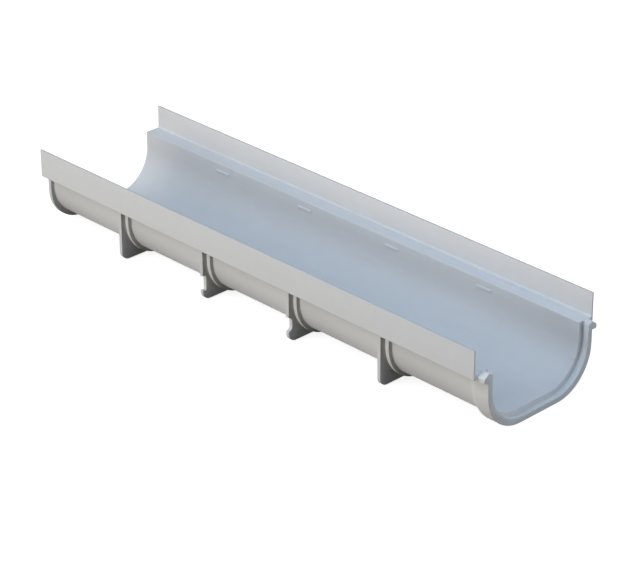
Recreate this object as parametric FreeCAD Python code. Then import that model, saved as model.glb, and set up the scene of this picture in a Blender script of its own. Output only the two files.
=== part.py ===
import FreeCAD, Part
import math
import os

# Channel drain section moulded in one piece.
# Millimetres, +Z up. X runs from the spigot end to the socket end, Y is across the channel,
# and Z is 0 on the underside of the socket collar, FOOT_CLEARANCE below the feet.

# ---- overall ----
UPSTAND_LENGTH = 500.0
OVERALL_WIDTH = 134.0
OVERALL_HEIGHT = 75.8

# ---- upstands and grating seat ----
UPSTAND_THICKNESS = 1.6
SEAT_DEPTH = 20.6
LEDGE_THICKNESS = 2.8
SKIRT_DROP = 1.8
SKIRT_THICKNESS = 2.2
SKIRT_EDGE_RADIUS = 0.9
EDGE_RADIUS = 0.5
SEAT_EDGE_RADIUS = 0.4
SEAT_CORNER_RADIUS = 1.2

# ---- trough ----
TROUGH_WIDTH = 103.0
TROUGH_DEPTH = 47.8
TROUGH_CORNER_RADIUS = 33.2
TROUGH_WALL = 3.0
TROUGH_OUTER_CORNER_RADIUS = 33.0

# ---- transverse fins that the channel stands on ----
FIN_COUNT = 4
FIN_PITCH = 101.0
FIRST_FIN_FROM_END = 92.4
FIN_THICKNESS = 3.2
FIN_PROUD = 4.7
FIN_CORNER_RADIUS = 7.5
FOOT_CLEARANCE = 0.9
SQUARE_NOTCH_FINS = (1,)
ROUND_NOTCH_FINS = (2,)
NOTCH_DEPTH = 3.6
NOTCH_HEIGHT = 14.0
NOTCH_ABOVE_FEET = 8.0
NOTCH_LIP_RISE = 1.2
SQUARE_NOTCH_RADIUS = 0.8
ROUND_NOTCH_RADIUS = 3.8

# ---- stiffening ribs that hug the trough beside each fin ----
RIB_GAP = 3.6
RIB_THICKNESS = 3.5
RIB_PROUD = 3.0
RIB_CORNER_RADIUS = 36.0

# ---- spigot end ----
SPIGOT_REACH = 3.5
SPIGOT_PROUD = 2.8
SPIGOT_CORNER_RADIUS = 32.0
SPIGOT_MOUTH_FLARE = 3.3
SPIGOT_LUG_PROUD = 1.6
SPIGOT_LUG_HEIGHT = 5.8

# ---- socket end ----
SOCKET_REACH = 7.3
COLLAR_WIDTH = 117.2
COLLAR_CORNER_RADIUS = 37.8
COLLAR_INSIDE_REACH = 5.2
COLLAR_TAPER_LENGTH = 9.0
COLLAR_TAPER_STEPS = 6
SOCKET_GROOVE_WIDTH = 3.4
SOCKET_GROOVE_DEPTH = 4.2
SOCKET_MOUTH_STEP = 2.35
SOCKET_EDGE_RADIUS = 0.6
TAB_REACH = 4.6
TAB_HEIGHT = 7.2
TAB_TIP_HEIGHT = 3.6
TAB_BELOW_SEAT = 5.9
TAB_ROOT = 1.6

# ---- grating catches on the inside of the trough walls ----
CATCH_LENGTH = 15.0
CATCH_PROUD = 0.6
CATCH_HEIGHT = 3.6
CATCH_TIP_HEIGHT = 1.6
CATCH_BELOW_SEAT = 7.4
CATCH_FROM_FIN = 6.5

# ---- construction allowance, never visible ----
OVERLAP = 1.0

# ---- derived positions ----
LEFT_X = (SPIGOT_REACH - UPSTAND_LENGTH - SOCKET_REACH) / 2
RIGHT_X = LEFT_X + UPSTAND_LENGTH
SPIGOT_X = LEFT_X - SPIGOT_REACH
SOCKET_X = RIGHT_X + SOCKET_REACH
HALF_WIDTH = OVERALL_WIDTH / 2
SEAT_Z = OVERALL_HEIGHT - SEAT_DEPTH
LEDGE_UNDER_Z = SEAT_Z - LEDGE_THICKNESS
SKIRT_Z = LEDGE_UNDER_Z - SKIRT_DROP
TROUGH_HALF = TROUGH_WIDTH / 2
FLOOR_Z = SEAT_Z - TROUGH_DEPTH
WALL_HALF = TROUGH_HALF + TROUGH_WALL
BELLY_Z = FLOOR_Z - TROUGH_WALL
FIN_HALF = WALL_HALF + FIN_PROUD
COLLAR_HALF = COLLAR_WIDTH / 2
COLLAR_START_X = RIGHT_X - COLLAR_INSIDE_REACH


def rounded_wire(corners, at_x):
    """Closed wire in the Y-Z plane at at_x through corners given as (y, z, radius)."""
    points = [FreeCAD.Vector(at_x, y, z) for y, z, radius in corners]
    starts = []
    ends = []
    middles = []
    for i, point in enumerate(points):
        radius = corners[i][2]
        to_last = (points[i - 1] - point).normalize()
        to_next = (points[(i + 1) % len(points)] - point).normalize()
        half_angle = to_last.getAngle(to_next) / 2
        if radius > 0 and half_angle < math.pi / 2 - 0.001:
            setback = radius / math.tan(half_angle)
            bisector = (to_last + to_next).normalize()
            starts.append(point + to_last * setback)
            ends.append(point + to_next * setback)
            middles.append(point + bisector * (radius / math.sin(half_angle) - radius))
        else:
            starts.append(point)
            ends.append(point)
            middles.append(None)
    edges = []
    for i in range(len(points)):
        if middles[i] is not None:
            edges.append(Part.Arc(starts[i], middles[i], ends[i]).toShape())
        following = starts[(i + 1) % len(points)]
        if ends[i].distanceToPoint(following) > 0.001:
            edges.append(Part.LineSegment(ends[i], following).toShape())
    return Part.Wire(edges)


def prism(corners, from_x, to_x):
    """Solid with a rounded Y-Z outline, running along X."""
    face = Part.Face(rounded_wire(corners, from_x))
    return face.extrude(FreeCAD.Vector(to_x - from_x, 0, 0))


def mirrored(corners):
    """Complete a list of right-hand corners with their left-hand twins, in order."""
    return corners + [(-y, z, radius) for y, z, radius in reversed(corners)]


def u_corners(half_width, bottom_z, radius, top_z):
    """Corners of a U-shaped outline that is closed by a straight line along its top."""
    return mirrored([(half_width, bottom_z, radius), (half_width, top_z, 0)])


def both_sides(shape):
    """A shape and its twin across the middle plane."""
    return [shape, shape.mirror(FreeCAD.Vector(0, 0, 0), FreeCAD.Vector(0, 1, 0))]


def cavity(from_x, to_x, outset=0.0):
    """Tool the shape of the trough's inside, moved outwards by outset."""
    corners = u_corners(
        TROUGH_HALF + outset,
        FLOOR_Z - outset,
        TROUGH_CORNER_RADIUS + outset,
        OVERALL_HEIGHT + OVERLAP,
    )
    return prism(corners, from_x, to_x)


def fin_middle_x(index):
    """X of the middle of a fin."""
    return LEFT_X + FIRST_FIN_FROM_END + index * FIN_PITCH


def channel_run():
    """Trough, grating ledges, skirts and upstands as one constant section."""
    inner_upstand = HALF_WIDTH - UPSTAND_THICKNESS
    inner_skirt = HALF_WIDTH - SKIRT_THICKNESS
    right = [
        (WALL_HALF, BELLY_Z, TROUGH_OUTER_CORNER_RADIUS),
        (WALL_HALF, LEDGE_UNDER_Z, SEAT_EDGE_RADIUS),
        (inner_skirt, LEDGE_UNDER_Z, EDGE_RADIUS),
        (inner_skirt, SKIRT_Z, EDGE_RADIUS),
        (HALF_WIDTH, SKIRT_Z, SKIRT_EDGE_RADIUS),
        (HALF_WIDTH, OVERALL_HEIGHT, EDGE_RADIUS),
        (inner_upstand, OVERALL_HEIGHT, EDGE_RADIUS),
        (inner_upstand, SEAT_Z, SEAT_CORNER_RADIUS),
        (TROUGH_HALF, SEAT_Z, SEAT_EDGE_RADIUS),
        (TROUGH_HALF, FLOOR_Z, TROUGH_CORNER_RADIUS),
    ]
    return prism(mirrored(right), LEFT_X, RIGHT_X)


def notch(index, corner_radius):
    """Tool for the hooked notch in a fin's outer edge."""
    middle = fin_middle_x(index)
    low = FOOT_CLEARANCE + NOTCH_ABOVE_FEET
    back = FIN_HALF - NOTCH_DEPTH
    outside = FIN_HALF + OVERLAP
    lip_slope = NOTCH_LIP_RISE / NOTCH_DEPTH
    corners = [
        (back, low, corner_radius),
        (outside, low + lip_slope * (outside - back), 0),
        (outside, low + NOTCH_HEIGHT, 0),
        (back, low + NOTCH_HEIGHT, corner_radius),
    ]
    return prism(corners, middle - FIN_THICKNESS, middle + FIN_THICKNESS)


def fins():
    """The plates across the channel, with rounded feet and two pairs of notches."""
    plates = []
    corners = u_corners(
        FIN_HALF, FOOT_CLEARANCE, FIN_CORNER_RADIUS, LEDGE_UNDER_Z + OVERLAP
    )
    for index in range(FIN_COUNT):
        middle = fin_middle_x(index)
        plate = prism(corners, middle - FIN_THICKNESS / 2, middle + FIN_THICKNESS / 2)
        if index in SQUARE_NOTCH_FINS:
            plate = plate.cut(both_sides(notch(index, SQUARE_NOTCH_RADIUS)))
        if index in ROUND_NOTCH_FINS:
            plate = plate.cut(both_sides(notch(index, ROUND_NOTCH_RADIUS)))
        plates.append(plate)
    return plates


def ribs():
    """A low rib round the trough on the socket side of each fin."""
    bands = []
    corners = u_corners(
        WALL_HALF + RIB_PROUD,
        BELLY_Z - RIB_PROUD,
        RIB_CORNER_RADIUS,
        LEDGE_UNDER_Z + OVERLAP,
    )
    for index in range(FIN_COUNT):
        start = fin_middle_x(index) + FIN_THICKNESS / 2 + RIB_GAP
        bands.append(prism(corners, start, start + RIB_THICKNESS))
    return bands


def spigot():
    """End flange with a flared mouth and a small lug at each top corner."""
    half = WALL_HALF + SPIGOT_PROUD
    flange = prism(
        u_corners(half, BELLY_Z - SPIGOT_PROUD, SPIGOT_CORNER_RADIUS, SKIRT_Z), SPIGOT_X, LEFT_X
    )
    lug_corners = [
        (WALL_HALF, SKIRT_Z - SPIGOT_LUG_HEIGHT, 0),
        (half + SPIGOT_LUG_PROUD, SKIRT_Z - SPIGOT_LUG_HEIGHT, EDGE_RADIUS),
        (half + SPIGOT_LUG_PROUD, SKIRT_Z, EDGE_RADIUS),
        (WALL_HALF, SKIRT_Z, 0),
    ]
    flange = flange.fuse(both_sides(prism(lug_corners, SPIGOT_X, LEFT_X)))
    narrow = u_corners(TROUGH_HALF, FLOOR_Z, TROUGH_CORNER_RADIUS, OVERALL_HEIGHT)
    wide = u_corners(
        TROUGH_HALF + SPIGOT_MOUTH_FLARE,
        FLOOR_Z - SPIGOT_MOUTH_FLARE,
        TROUGH_CORNER_RADIUS + SPIGOT_MOUTH_FLARE,
        OVERALL_HEIGHT,
    )
    mouth = Part.makeLoft([rounded_wire(wide, SPIGOT_X), rounded_wire(narrow, LEFT_X)], True, True)
    return flange.cut(mouth)


def collar_section(share, at_x):
    """Outline between the trough's outside (share 0) and the collar's outside (share 1)."""
    half = WALL_HALF + share * (COLLAR_HALF - WALL_HALF)
    bottom = BELLY_Z * (1 - share)
    radius = TROUGH_OUTER_CORNER_RADIUS + share * (COLLAR_CORNER_RADIUS - TROUGH_OUTER_CORNER_RADIUS)
    return rounded_wire(u_corners(half, bottom, radius, SEAT_Z - EDGE_RADIUS), at_x)


def collar_swell():
    """Smooth swelling of the trough's outside up to the collar."""
    sections = []
    for step in range(COLLAR_TAPER_STEPS + 1):
        share = step / COLLAR_TAPER_STEPS
        smooth = share * share * (3 - 2 * share)
        at_x = COLLAR_START_X - COLLAR_TAPER_LENGTH * (1 - share)
        sections.append(collar_section(smooth, at_x))
    return Part.makeLoft(sections, True, True)


def socket():
    """Collar with a groove for the next section's flange, open at the top."""
    collar = prism(
        u_corners(COLLAR_HALF, 0, COLLAR_CORNER_RADIUS, SEAT_Z), COLLAR_START_X, SOCKET_X
    )
    rim = [edge for edge in collar.Edges if edge.BoundBox.XMin > SOCKET_X - OVERLAP / 2]
    below_top = [edge for edge in rim if edge.BoundBox.ZMin < SEAT_Z - OVERLAP]
    collar = collar.makeFillet(SOCKET_EDGE_RADIUS, below_top)
    tab_low = SEAT_Z - TAB_BELOW_SEAT
    tab_corners = [
        (COLLAR_HALF - TAB_ROOT, tab_low, 0),
        (COLLAR_HALF + TAB_REACH, tab_low, EDGE_RADIUS),
        (COLLAR_HALF + TAB_REACH, tab_low + TAB_TIP_HEIGHT, EDGE_RADIUS),
        (COLLAR_HALF, tab_low + TAB_HEIGHT, EDGE_RADIUS),
        (COLLAR_HALF - TAB_ROOT, tab_low + TAB_HEIGHT, 0),
    ]
    tabs = both_sides(prism(tab_corners, RIGHT_X, SOCKET_X))
    hollow = cavity(COLLAR_START_X - OVERLAP, RIGHT_X + OVERLAP, TROUGH_WALL / 2)
    groove = cavity(RIGHT_X, RIGHT_X + SOCKET_GROOVE_WIDTH, SOCKET_GROOVE_DEPTH)
    mouth = cavity(RIGHT_X, SOCKET_X + OVERLAP, SOCKET_MOUTH_STEP)
    return collar.fuse(tabs).cut([hollow, groove, mouth])


def catches():
    """Low beads under the seat that the grating's clips snap over."""
    beads = []
    middle_z = SEAT_Z - CATCH_BELOW_SEAT
    root = TROUGH_HALF + OVERLAP
    tip = TROUGH_HALF - CATCH_PROUD
    corners = [
        (root, middle_z - CATCH_HEIGHT / 2, 0),
        (root, middle_z + CATCH_HEIGHT / 2, 0),
        (TROUGH_HALF, middle_z + CATCH_HEIGHT / 2, 0),
        (tip, middle_z + CATCH_TIP_HEIGHT / 2, EDGE_RADIUS),
        (tip, middle_z - CATCH_TIP_HEIGHT / 2, EDGE_RADIUS),
        (TROUGH_HALF, middle_z - CATCH_HEIGHT / 2, 0),
    ]
    for index in range(FIN_COUNT):
        middle = fin_middle_x(index) + CATCH_FROM_FIN
        bead = prism(corners, middle - CATCH_LENGTH / 2, middle + CATCH_LENGTH / 2)
        beads.extend(both_sides(bead))
    return beads


def channel():
    """The whole moulding."""
    outside = fins() + ribs() + [collar_swell()]
    hollow = cavity(SPIGOT_X - OVERLAP, RIGHT_X + OVERLAP, TROUGH_WALL / 2)
    trimmed = [piece.cut(hollow) for piece in outside]
    shape = channel_run().fuse(trimmed + [spigot(), socket()] + catches())
    return shape.removeSplitter()


os.makedirs("parts", exist_ok=True)
body = channel()
body.exportStep("parts/channel_body.step")
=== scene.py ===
import math

import bmesh
import bpy
from bpy.props import FloatProperty, FloatVectorProperty, PointerProperty
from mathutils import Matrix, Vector


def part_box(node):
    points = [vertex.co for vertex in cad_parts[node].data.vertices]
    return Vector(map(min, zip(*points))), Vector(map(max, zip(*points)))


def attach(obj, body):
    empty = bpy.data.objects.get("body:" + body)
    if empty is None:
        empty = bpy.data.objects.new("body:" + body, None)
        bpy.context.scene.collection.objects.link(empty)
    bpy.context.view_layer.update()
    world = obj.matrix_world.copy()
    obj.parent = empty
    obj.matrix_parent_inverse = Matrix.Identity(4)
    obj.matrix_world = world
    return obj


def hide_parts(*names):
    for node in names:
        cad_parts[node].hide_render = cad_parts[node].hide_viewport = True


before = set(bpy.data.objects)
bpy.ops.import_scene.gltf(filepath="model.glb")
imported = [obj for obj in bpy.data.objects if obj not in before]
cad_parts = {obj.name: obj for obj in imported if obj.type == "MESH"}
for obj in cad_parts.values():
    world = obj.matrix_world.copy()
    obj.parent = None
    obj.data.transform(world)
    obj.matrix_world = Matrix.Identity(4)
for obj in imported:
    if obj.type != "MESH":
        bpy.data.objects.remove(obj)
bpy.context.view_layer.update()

bl_info = {
    "name": "Channel drain section",
    "version": (1, 0, 0),
    "blender": (4, 5, 0),
    "location": "3D View > Sidebar > Channel drain",
    "description": "Builds the finish of a moulded channel drain section and its studio",
    "category": "Object",
}

BODY_NODE = "channel_body"
BODY_LOW, BODY_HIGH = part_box(BODY_NODE)
BODY_MIDDLE = (Vector(BODY_LOW) + Vector(BODY_HIGH)) / 2

# Mesh clean-up and edge rounding, in metres and radians.
MERGE_DISTANCE = 0.000002
FLAT_ANGLE = 0.01
BEVEL_ANGLE = math.radians(35)
BEVEL_SEGMENTS = 2

# Plastic. Painted shade darkens the tops of the upstands' rims between two depths below the top,
# in metres. The flow streaks have a darkest tone, a number to the metre and a stretch along the
# channel. The roughness falls and rises with the mottling. The grain and the streaks stand in a
# shallow relief.
PAINTED_SHADE_START_DEPTH = 0.0006
PAINTED_SHADE_FULL_DEPTH = 0.0002
STREAK_TONE = 0.985
STREAKS_PER_METRE = 220.0
STREAK_STRETCH = 14.0
ROUGHNESS_FALL = 0.04
ROUGHNESS_RISE = 0.05
PLASTIC_IOR = 1.5
GRAIN_RELIEF = {"Strength": 0.12, "Distance": 0.00006}
STREAK_RELIEF = {"Strength": 0.10, "Distance": 0.00012}

# Studio, in metres. The camera looks at a point a little off the body's middle, and its lens
# is shifted by these parts of the sensor's width.
FLOOR_REACH = 6.0
AIM_OFFSET = Vector((0.014669, 0.016232, 0.00703))
SENSOR_WIDTH_MM = 36.0
LENS_SHIFT = (-0.01687, -0.05655)
VIEW_LIMIT = 30.0

# Lamps: name, place, width and height, colour. Each takes its power from the studio settings.
LAMPS = (
    ("front", (-1.0, -3.6, 1.2), (2.6, 1.8), (1.0, 0.97, 0.98)),
    ("low", (-0.5, -3.8, 0.35), (2.6, 0.9), (1.0, 0.92, 0.72)),
    ("high", (-0.5, -1.7, 1.7), (1.6, 1.2), (0.83, 0.90, 1.0)),
    ("end", (2.3, 0.3, 0.9), (1.2, 1.2), (0.95, 0.93, 0.96)),
    ("upper", (0.8, -0.4, 2.1), (1.2, 1.2), (0.46, 0.70, 1.0)),
    ("back", (0.3, 2.4, 0.9), (1.8, 1.2), (0.95, 0.97, 1.0)),
    ("left", (-2.3, 0.2, 0.9), (1.2, 1.2), (1.0, 1.0, 1.0)),
)

# Node spacing in the editor.
NODE_STEP = 190
NODE_ROWS = 4
NODE_DROP = 170


# ---------------------------------------------------------------- node helpers


def new_material(name):
    """A material with an empty node tree and its output node."""
    material = bpy.data.materials.new(name)
    material.use_nodes = True
    tree = material.node_tree
    tree.nodes.clear()
    output = tree.nodes.new("ShaderNodeOutputMaterial")
    return material, tree, output


def add_node(tree, kind, values=None, **settings):
    """Adds a node, sets its properties, and fills the named input sockets."""
    node = tree.nodes.new(kind)
    for key, value in settings.items():
        setattr(node, key, value)
    for socket, value in (values or {}).items():
        node.inputs[socket].default_value = value
    return node


def group_socket(tree, name, direction, kind, default=None):
    """Adds one named input or output to a node group."""
    socket = tree.interface.new_socket(name=name, in_out=direction, socket_type=kind)
    if default is not None:
        socket.default_value = default


def arrange(tree):
    """Lays the nodes out in a staggered row so that the tree can be read in the editor."""
    for index, node in enumerate(tree.nodes):
        node.location = (index * NODE_STEP, (index % NODE_ROWS) * -NODE_DROP)


def grey(level):
    """An opaque neutral colour."""
    return (level, level, level, 1.0)


def backdrop_mask(tree):
    """Value that is 1 for the rays that show the pale background: camera, glossy, transmission."""
    path = add_node(tree, "ShaderNodeLightPath")
    seen = add_node(tree, "ShaderNodeMath", operation="MAXIMUM")
    tree.links.new(path.outputs["Is Camera Ray"], seen.inputs[0])
    tree.links.new(path.outputs["Is Glossy Ray"], seen.inputs[1])
    seen_all = add_node(tree, "ShaderNodeMath", operation="MAXIMUM")
    tree.links.new(seen.outputs["Value"], seen_all.inputs[0])
    tree.links.new(path.outputs["Is Transmission Ray"], seen_all.inputs[1])
    return seen_all.outputs["Value"]


# ---------------------------------------------------------------- shader groups


def moulded_surface_group():
    """Fine grain, soft mottling and flow streaks of an injection moulding."""
    name = "moulded_surface"
    if name in bpy.data.node_groups:
        return bpy.data.node_groups[name]
    tree = bpy.data.node_groups.new(name, "ShaderNodeTree")
    group_socket(tree, "Position", "INPUT", "NodeSocketVector")
    group_socket(tree, "Grain Per Metre", "INPUT", "NodeSocketFloat")
    group_socket(tree, "Mottle Per Metre", "INPUT", "NodeSocketFloat")
    group_socket(tree, "Streak Per Metre", "INPUT", "NodeSocketFloat", STREAKS_PER_METRE)
    group_socket(tree, "Streak Length", "INPUT", "NodeSocketFloat", STREAK_STRETCH)
    group_socket(tree, "Mottle", "OUTPUT", "NodeSocketFloat")
    group_socket(tree, "Streak", "OUTPUT", "NodeSocketFloat")
    group_socket(tree, "Grain Height", "OUTPUT", "NodeSocketFloat")
    entry = add_node(tree, "NodeGroupInput")
    leave = add_node(tree, "NodeGroupOutput")
    link = tree.links.new

    grain = add_node(tree, "ShaderNodeTexNoise", {"Detail": 3.0, "Roughness": 0.6})
    link(entry.outputs["Position"], grain.inputs["Vector"])
    link(entry.outputs["Grain Per Metre"], grain.inputs["Scale"])

    mottle = add_node(tree, "ShaderNodeTexNoise", {"Detail": 4.0, "Roughness": 0.55})
    link(entry.outputs["Position"], mottle.inputs["Vector"])
    link(entry.outputs["Mottle Per Metre"], mottle.inputs["Scale"])
    mottle_range = add_node(
        tree, "ShaderNodeMapRange", {"From Min": 0.3, "From Max": 0.7}, clamp=True
    )
    link(mottle.outputs["Fac"], mottle_range.inputs["Value"])

    split = add_node(tree, "ShaderNodeSeparateXYZ")
    link(entry.outputs["Position"], split.inputs["Vector"])
    along = add_node(tree, "ShaderNodeMath", operation="DIVIDE")
    link(split.outputs["X"], along.inputs[0])
    link(entry.outputs["Streak Length"], along.inputs[1])
    stretched = add_node(tree, "ShaderNodeCombineXYZ")
    link(along.outputs["Value"], stretched.inputs["X"])
    link(split.outputs["Y"], stretched.inputs["Y"])
    link(split.outputs["Z"], stretched.inputs["Z"])
    streak = add_node(tree, "ShaderNodeTexNoise", {"Detail": 2.0, "Roughness": 0.5})
    link(stretched.outputs["Vector"], streak.inputs["Vector"])
    link(entry.outputs["Streak Per Metre"], streak.inputs["Scale"])
    streak_range = add_node(
        tree, "ShaderNodeMapRange", {"From Min": 0.35, "From Max": 0.65}, clamp=True
    )
    link(streak.outputs["Fac"], streak_range.inputs["Value"])

    link(mottle_range.outputs["Result"], leave.inputs["Mottle"])
    link(streak_range.outputs["Result"], leave.inputs["Streak"])
    link(grain.outputs["Fac"], leave.inputs["Grain Height"])
    arrange(tree)
    return tree


# ---------------------------------------------------------------- materials


def channel_plastic(finish):
    """Light grey moulded plastic, satin, faintly mottled and streaked along the channel, with
    painted shade along the upstands' top rims.
    """
    material, tree, output = new_material("channel_plastic")
    link = tree.links.new
    place = add_node(tree, "ShaderNodeTexCoord")
    surface = add_node(tree, "ShaderNodeGroup", node_tree=moulded_surface_group())
    surface.inputs["Grain Per Metre"].default_value = 1.0 / finish.grain_size
    surface.inputs["Mottle Per Metre"].default_value = 1.0 / finish.mottle_size
    link(place.outputs["Object"], surface.inputs["Position"])

    base = Vector(finish.plastic_colour)
    pale = [min(1.0, value * (1.0 + finish.mottle_strength)) for value in base] + [1.0]
    deep = [value * (1.0 - finish.mottle_strength) for value in base] + [1.0]
    mottled = add_node(tree, "ShaderNodeMix", data_type="RGBA")
    mottled.inputs["A"].default_value = deep
    mottled.inputs["B"].default_value = pale
    link(surface.outputs["Mottle"], mottled.inputs["Factor"])
    streaked = add_node(tree, "ShaderNodeMix", data_type="RGBA", blend_type="MULTIPLY")
    streaked.inputs["Factor"].default_value = 1.0
    streak_tint = add_node(tree, "ShaderNodeMix", data_type="RGBA")
    streak_tint.inputs["A"].default_value = grey(STREAK_TONE)
    streak_tint.inputs["B"].default_value = grey(1.0)
    link(surface.outputs["Streak"], streak_tint.inputs["Factor"])
    link(mottled.outputs["Result"], streaked.inputs["A"])
    link(streak_tint.outputs["Result"], streaked.inputs["B"])

    # Painted shade: the colour darkens within a fraction of a millimetre of the top, on the
    # upstands' rims.
    height = add_node(tree, "ShaderNodeSeparateXYZ")
    link(place.outputs["Object"], height.inputs["Vector"])
    painted_shade_mask = add_node(tree, "ShaderNodeMapRange", clamp=True)
    painted_shade_mask.inputs["From Min"].default_value = BODY_HIGH[2] - PAINTED_SHADE_START_DEPTH
    painted_shade_mask.inputs["From Max"].default_value = BODY_HIGH[2] - PAINTED_SHADE_FULL_DEPTH
    link(height.outputs["Z"], painted_shade_mask.inputs["Value"])
    painted_shade_mix = add_node(tree, "ShaderNodeMix", data_type="RGBA", blend_type="MULTIPLY")
    painted_shade_mix.inputs["B"].default_value = grey(finish.painted_rim_shade)
    link(painted_shade_mask.outputs["Result"], painted_shade_mix.inputs["Factor"])
    link(streaked.outputs["Result"], painted_shade_mix.inputs["A"])

    gloss = add_node(tree, "ShaderNodeMapRange", clamp=True)
    gloss.inputs["To Min"].default_value = finish.roughness - ROUGHNESS_FALL
    gloss.inputs["To Max"].default_value = finish.roughness + ROUGHNESS_RISE
    link(surface.outputs["Mottle"], gloss.inputs["Value"])

    bump = add_node(tree, "ShaderNodeBump", GRAIN_RELIEF)
    link(surface.outputs["Grain Height"], bump.inputs["Height"])
    wave = add_node(tree, "ShaderNodeBump", STREAK_RELIEF)
    link(surface.outputs["Streak"], wave.inputs["Height"])
    link(bump.outputs["Normal"], wave.inputs["Normal"])

    shader = add_node(tree, "ShaderNodeBsdfPrincipled", {"Metallic": 0.0, "IOR": PLASTIC_IOR})
    shader.inputs["Specular IOR Level"].default_value = finish.specular
    link(painted_shade_mix.outputs["Result"], shader.inputs["Base Color"])
    link(gloss.outputs["Result"], shader.inputs["Roughness"])
    link(wave.outputs["Normal"], shader.inputs["Normal"])
    link(shader.outputs["BSDF"], output.inputs["Surface"])
    arrange(tree)
    return material


def studio_floor(studio):
    """Pale matt floor that keeps the shadow and throws little light back up."""
    material, tree, output = new_material("studio_floor")
    link = tree.links.new
    seen = backdrop_mask(tree)
    bounce = add_node(tree, "ShaderNodeBsdfDiffuse", {"Color": grey(studio.floor_bounce)})
    white = add_node(tree, "ShaderNodeBsdfDiffuse", {"Color": grey(studio.floor_white)})
    glow = add_node(tree, "ShaderNodeEmission", {"Color": grey(studio.floor_lift), "Strength": 1.0})
    bright = add_node(tree, "ShaderNodeAddShader")
    link(white.outputs["BSDF"], bright.inputs[0])
    link(glow.outputs["Emission"], bright.inputs[1])
    mix = add_node(tree, "ShaderNodeMixShader")
    link(seen, mix.inputs["Fac"])
    link(bounce.outputs["BSDF"], mix.inputs[1])
    link(bright.outputs["Shader"], mix.inputs[2])
    link(mix.outputs["Shader"], output.inputs["Surface"])
    arrange(tree)
    return material


# ---------------------------------------------------------------- geometry nodes


def moulded_skin_tree():
    """Joins the loose faces of the moulding and shades its curves smoothly."""
    name = "moulded_skin"
    if name in bpy.data.node_groups:
        return bpy.data.node_groups[name]
    tree = bpy.data.node_groups.new(name, "GeometryNodeTree")
    group_socket(tree, "Geometry", "INPUT", "NodeSocketGeometry")
    group_socket(tree, "Merge Distance", "INPUT", "NodeSocketFloat")
    group_socket(tree, "Smooth Angle", "INPUT", "NodeSocketFloat")
    group_socket(tree, "Material", "INPUT", "NodeSocketMaterial")
    group_socket(tree, "Geometry", "OUTPUT", "NodeSocketGeometry")
    entry = add_node(tree, "NodeGroupInput")
    leave = add_node(tree, "NodeGroupOutput")
    link = tree.links.new
    merge = add_node(tree, "GeometryNodeMergeByDistance")
    link(entry.outputs["Geometry"], merge.inputs["Geometry"])
    link(entry.outputs["Merge Distance"], merge.inputs["Distance"])
    faces = add_node(tree, "GeometryNodeSetShadeSmooth", domain="FACE")
    faces.inputs["Shade Smooth"].default_value = True
    link(merge.outputs["Geometry"], faces.inputs["Geometry"])
    angle = add_node(tree, "GeometryNodeInputMeshEdgeAngle")
    sharp = add_node(tree, "FunctionNodeCompare", data_type="FLOAT", operation="GREATER_THAN")
    link(angle.outputs["Unsigned Angle"], sharp.inputs[0])
    link(entry.outputs["Smooth Angle"], sharp.inputs[1])
    edges = add_node(tree, "GeometryNodeSetShadeSmooth", domain="EDGE")
    edges.inputs["Shade Smooth"].default_value = False
    link(faces.outputs["Geometry"], edges.inputs["Geometry"])
    link(sharp.outputs["Result"], edges.inputs["Selection"])
    real = add_node(tree, "GeometryNodeRealizeInstances")
    link(edges.outputs["Geometry"], real.inputs["Geometry"])
    painted = add_node(tree, "GeometryNodeSetMaterial")
    link(real.outputs["Geometry"], painted.inputs["Geometry"])
    link(entry.outputs["Material"], painted.inputs["Material"])
    link(painted.outputs["Geometry"], leave.inputs["Geometry"])
    arrange(tree)
    return tree


def set_tree_input(modifier, name, value):
    """Sets a modifier's input through the identifier of the socket with that name."""
    for item in modifier.node_group.interface.items_tree:
        if item.item_type == "SOCKET" and item.in_out == "INPUT" and item.name == name:
            modifier[item.identifier] = value
            return
    raise ValueError("no input called " + name)


def plain_mesh(source, name):
    """Replaces an object that has modifiers by a plain mesh object."""
    graph = bpy.context.evaluated_depsgraph_get()
    mesh = bpy.data.meshes.new_from_object(
        source.evaluated_get(graph), preserve_all_data_layers=True, depsgraph=graph
    )
    mesh.name = name
    made = bpy.data.objects.new(name, mesh)
    bpy.context.scene.collection.objects.link(made)
    bpy.data.objects.remove(source, do_unlink=True)
    return made


# ---------------------------------------------------------------- settings


class ChannelFinish(bpy.types.PropertyGroup):
    """Sizes and colours of the channel's finish."""

    plastic_colour: FloatVectorProperty(
        name="Plastic colour", description="Base colour of the moulded plastic",
        subtype="COLOR", size=3, min=0.0, max=1.0, default=(0.60, 0.60, 0.595),
    )
    roughness: FloatProperty(
        name="Roughness", description="Roughness of the satin plastic", default=0.5,
        min=0.0, max=1.0, subtype="FACTOR",
    )
    specular: FloatProperty(
        name="Specular", description="Strength of the plastic's faint reflection", default=0.12,
        min=0.0, max=1.0, subtype="FACTOR",
    )
    # Painted shade: grey level multiplied into the plastic's colour along the top rims of the
    # upstands.
    painted_rim_shade: FloatProperty(
        name="Rim shade", description="Darker tone of the moulded rims on top of the upstands",
        default=0.72, min=0.0, max=1.0, subtype="FACTOR",
    )
    edge_round: FloatProperty(
        name="Edge rounding", description="Width of the rounding along sharp edges",
        default=0.00035, min=0.0, unit="LENGTH",
    )
    smooth_angle: FloatProperty(
        name="Smooth angle", description="Edges flatter than this are shaded smooth",
        default=math.radians(28), subtype="ANGLE",
    )
    grain_size: FloatProperty(
        name="Grain size", description="Size of the fine moulded grain",
        default=0.0004, min=0.00005, unit="LENGTH",
    )
    mottle_size: FloatProperty(
        name="Mottle size", description="Size of the soft patches in the plastic",
        default=0.014, min=0.001, unit="LENGTH",
    )
    mottle_strength: FloatProperty(
        name="Mottle strength", description="How far the patches lighten and darken the plastic",
        default=0.012, min=0.0, max=0.2, subtype="FACTOR",
    )


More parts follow.
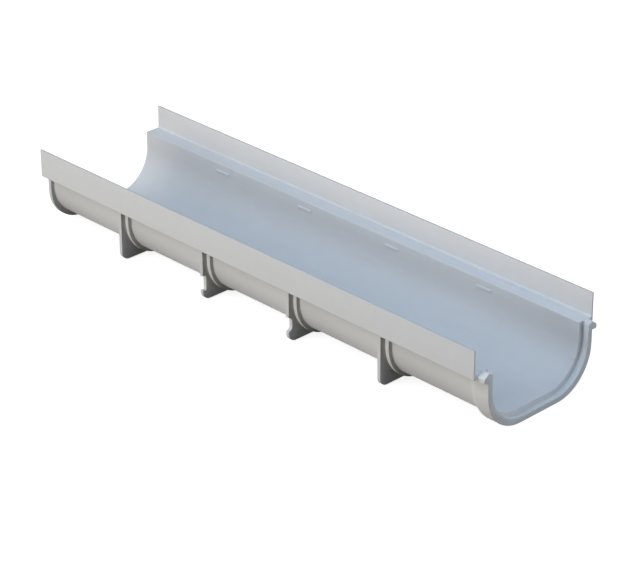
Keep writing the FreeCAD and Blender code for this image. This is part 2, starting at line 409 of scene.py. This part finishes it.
class ChannelStudio(bpy.types.PropertyGroup):
    """Camera, floor and lamps."""

    view_azimuth: FloatProperty(
        name="View azimuth", description="Turn of the camera round the channel",
        default=math.radians(45.418), subtype="ANGLE",
    )
    view_elevation: FloatProperty(
        name="View elevation", description="Height of the camera above the horizon",
        default=math.radians(26.575), subtype="ANGLE",
    )
    view_distance: FloatProperty(
        name="View distance", description="From the aim point to the camera",
        default=2.151116, unit="LENGTH",
    )
    focal_length: FloatProperty(
        name="Focal length", description="Lens of the camera in millimetres", default=149.53,
    )
    floor_white: FloatProperty(
        name="Floor colour", description="Grey level of the floor as the camera sees it",
        default=0.45, min=0.0, max=1.0, subtype="FACTOR",
    )
    floor_lift: FloatProperty(
        name="Floor lift", description="Paleness added to the floor as the camera sees it",
        default=0.85, min=0.0, max=1.0, subtype="FACTOR",
    )
    floor_bounce: FloatProperty(
        name="Floor bounce", description="Grey level of the floor as the lamps see it",
        default=0.02, min=0.0, max=1.0, subtype="FACTOR",
    )
    sky_colour: FloatVectorProperty(
        name="Room light", description="Colour of the soft light from all round",
        subtype="COLOR", size=3, min=0.0, max=1.0, default=(0.08, 0.085, 0.09),
    )
    front_power: FloatProperty(
        name="Front lamp", description="Power of the large lamp in front", default=60.0,
    )
    low_power: FloatProperty(
        name="Low lamp", description="Power of the lamp low in front", default=50.0,
    )
    high_power: FloatProperty(
        name="High lamp", description="Power of the lamp high in front", default=18.5,
    )
    end_power: FloatProperty(
        name="End lamp", description="Power of the lamp beyond the socket end", default=16.0,
    )
    upper_power: FloatProperty(
        name="Upper lamp", description="Power of the lamp above the socket end", default=22.5,
    )
    back_power: FloatProperty(
        name="Back lamp", description="Power of the lamp that fills the far side", default=26.0,
    )
    left_power: FloatProperty(
        name="Left lamp", description="Power of the lamp that fills the spigot end", default=9.0,
    )


# ---------------------------------------------------------------- operators


class CHANNELDRAIN_OT_channel_body(bpy.types.Operator):
    """Dress the channel section: joined skin, softly rounded edges and moulded plastic"""

    bl_idname = "channeldrain.channel_body"
    bl_label = "Channel section"

    def execute(self, context):
        finish = context.scene.channel_finish
        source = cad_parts[BODY_NODE]
        mesh = source.data.copy()
        mesh.materials.clear()
        shape = bmesh.new()
        shape.from_mesh(mesh)
        bmesh.ops.remove_doubles(shape, verts=shape.verts, dist=MERGE_DISTANCE)
        bmesh.ops.dissolve_limit(
            shape, angle_limit=FLAT_ANGLE, verts=shape.verts, edges=shape.edges, delimit={"NORMAL"}
        )
        shape.to_mesh(mesh)
        shape.free()
        skin = bpy.data.objects.new("channel_section_source", mesh)
        context.scene.collection.objects.link(skin)

        rounding = skin.modifiers.new("rounded_edges", "BEVEL")
        rounding.width = finish.edge_round
        rounding.segments = BEVEL_SEGMENTS
        rounding.limit_method = "ANGLE"
        rounding.angle_limit = BEVEL_ANGLE
        finisher = skin.modifiers.new("moulded_skin", "NODES")
        finisher.node_group = moulded_skin_tree()
        set_tree_input(finisher, "Merge Distance", MERGE_DISTANCE)
        set_tree_input(finisher, "Smooth Angle", finish.smooth_angle)
        set_tree_input(finisher, "Material", channel_plastic(finish))
        piece = plain_mesh(skin, "channel_section")
        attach(piece, "root")
        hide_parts(BODY_NODE)
        return {"FINISHED"}


def lay_floor(studio):
    """Flat floor under the part's lowest point."""
    z = BODY_LOW[2]
    corners = [(-1, -1), (1, -1), (1, 1), (-1, 1)]
    mesh = bpy.data.meshes.new("floor")
    mesh.from_pydata([(x * FLOOR_REACH, y * FLOOR_REACH, z) for x, y in corners], [], [(0, 1, 2, 3)])
    mesh.materials.append(studio_floor(studio))
    floor = bpy.data.objects.new("floor", mesh)
    bpy.context.scene.collection.objects.link(floor)


def soft_lamp(name, place, size, colour, power):
    """A rectangular area lamp turned towards the middle of the body."""
    data = bpy.data.lights.new(name, "AREA")
    data.shape = "RECTANGLE"
    data.size, data.size_y = size
    data.energy = power
    data.color = colour
    lamp = bpy.data.objects.new(name, data)
    lamp.location = place
    lamp.rotation_euler = (BODY_MIDDLE - Vector(place)).to_track_quat("-Z", "Y").to_euler()
    bpy.context.scene.collection.objects.link(lamp)


def light_room(studio):
    """Faint light from all round, with a white backdrop for the rays that show it."""
    world = bpy.data.worlds.new("room")
    bpy.context.scene.world = world
    world.use_nodes = True
    tree = world.node_tree
    tree.nodes.clear()
    link = tree.links.new
    output = add_node(tree, "ShaderNodeOutputWorld")
    seen = backdrop_mask(tree)
    soft = add_node(tree, "ShaderNodeBackground", {"Color": list(studio.sky_colour) + [1.0]})
    backdrop = add_node(tree, "ShaderNodeBackground", {"Color": grey(1.0)})
    mix = add_node(tree, "ShaderNodeMixShader")
    link(seen, mix.inputs["Fac"])
    link(soft.outputs["Background"], mix.inputs[1])
    link(backdrop.outputs["Background"], mix.inputs[2])
    link(mix.outputs["Shader"], output.inputs["Surface"])
    arrange(tree)


def place_camera(studio):
    """Long lens that looks down on the channel from beyond its socket end."""
    data = bpy.data.cameras.new("camera")
    data.lens = studio.focal_length
    data.sensor_width = SENSOR_WIDTH_MM
    data.shift_x, data.shift_y = LENS_SHIFT
    data.clip_end = VIEW_LIMIT
    level = math.cos(studio.view_elevation)
    toward = Vector((
        math.sin(studio.view_azimuth) * level,
        -math.cos(studio.view_azimuth) * level,
        math.sin(studio.view_elevation),
    ))
    camera = bpy.data.objects.new("camera", data)
    camera.location = BODY_MIDDLE + AIM_OFFSET + toward * studio.view_distance
    camera.rotation_euler = (math.pi / 2 - studio.view_elevation, 0.0, studio.view_azimuth)
    bpy.context.scene.collection.objects.link(camera)
    bpy.context.scene.camera = camera


class CHANNELDRAIN_OT_studio(bpy.types.Operator):
    """Set up the pale floor, the soft lamps, the room light and the camera"""

    bl_idname = "channeldrain.studio"
    bl_label = "Studio"

    def execute(self, context):
        studio = context.scene.channel_studio
        lay_floor(studio)
        for name, place, size, colour in LAMPS:
            power = getattr(studio, name + "_power")
            soft_lamp(name + "_lamp", place, size, colour, power)
        light_room(studio)
        place_camera(studio)
        context.scene.view_settings.view_transform = "Standard"
        return {"FINISHED"}


class CHANNELDRAIN_PT_tools(bpy.types.Panel):
    """Lists the steps that dress the channel and set up its studio"""

    bl_idname = "CHANNELDRAIN_PT_tools"
    bl_label = "Channel drain"
    bl_space_type = "VIEW_3D"
    bl_region_type = "UI"
    bl_category = "Channel drain"

    def draw(self, context):
        layout = self.layout
        finish = context.scene.channel_finish
        studio = context.scene.channel_studio
        layout.label(text="Finish")
        for name in ("plastic_colour", "roughness", "specular", "painted_rim_shade"):
            layout.prop(finish, name)
        for name in ("edge_round", "smooth_angle", "grain_size", "mottle_size", "mottle_strength"):
            layout.prop(finish, name)
        layout.operator(CHANNELDRAIN_OT_channel_body.bl_idname)
        layout.label(text="Studio")
        for name in ("view_azimuth", "view_elevation", "view_distance", "focal_length"):
            layout.prop(studio, name)
        for name in ("floor_white", "floor_lift", "floor_bounce", "sky_colour"):
            layout.prop(studio, name)
        for lamp in LAMPS:
            layout.prop(studio, lamp[0] + "_power")
        layout.operator(CHANNELDRAIN_OT_studio.bl_idname)


CLASSES = (
    ChannelFinish,
    ChannelStudio,
    CHANNELDRAIN_OT_channel_body,
    CHANNELDRAIN_OT_studio,
    CHANNELDRAIN_PT_tools,
)


def register():
    """Makes the settings, the operators and the panel known."""
    for cls in CLASSES:
        bpy.utils.register_class(cls)
    bpy.types.Scene.channel_finish = PointerProperty(type=ChannelFinish)
    bpy.types.Scene.channel_studio = PointerProperty(type=ChannelStudio)


def unregister():
    """Takes them away again."""
    del bpy.types.Scene.channel_studio
    del bpy.types.Scene.channel_finish
    for cls in reversed(CLASSES):
        bpy.utils.unregister_class(cls)


def main():
    """Dresses the channel and sets up the studio."""
    register()
    bpy.ops.channeldrain.channel_body()
    bpy.ops.channeldrain.studio()


if __name__ == "__main__":
    main()
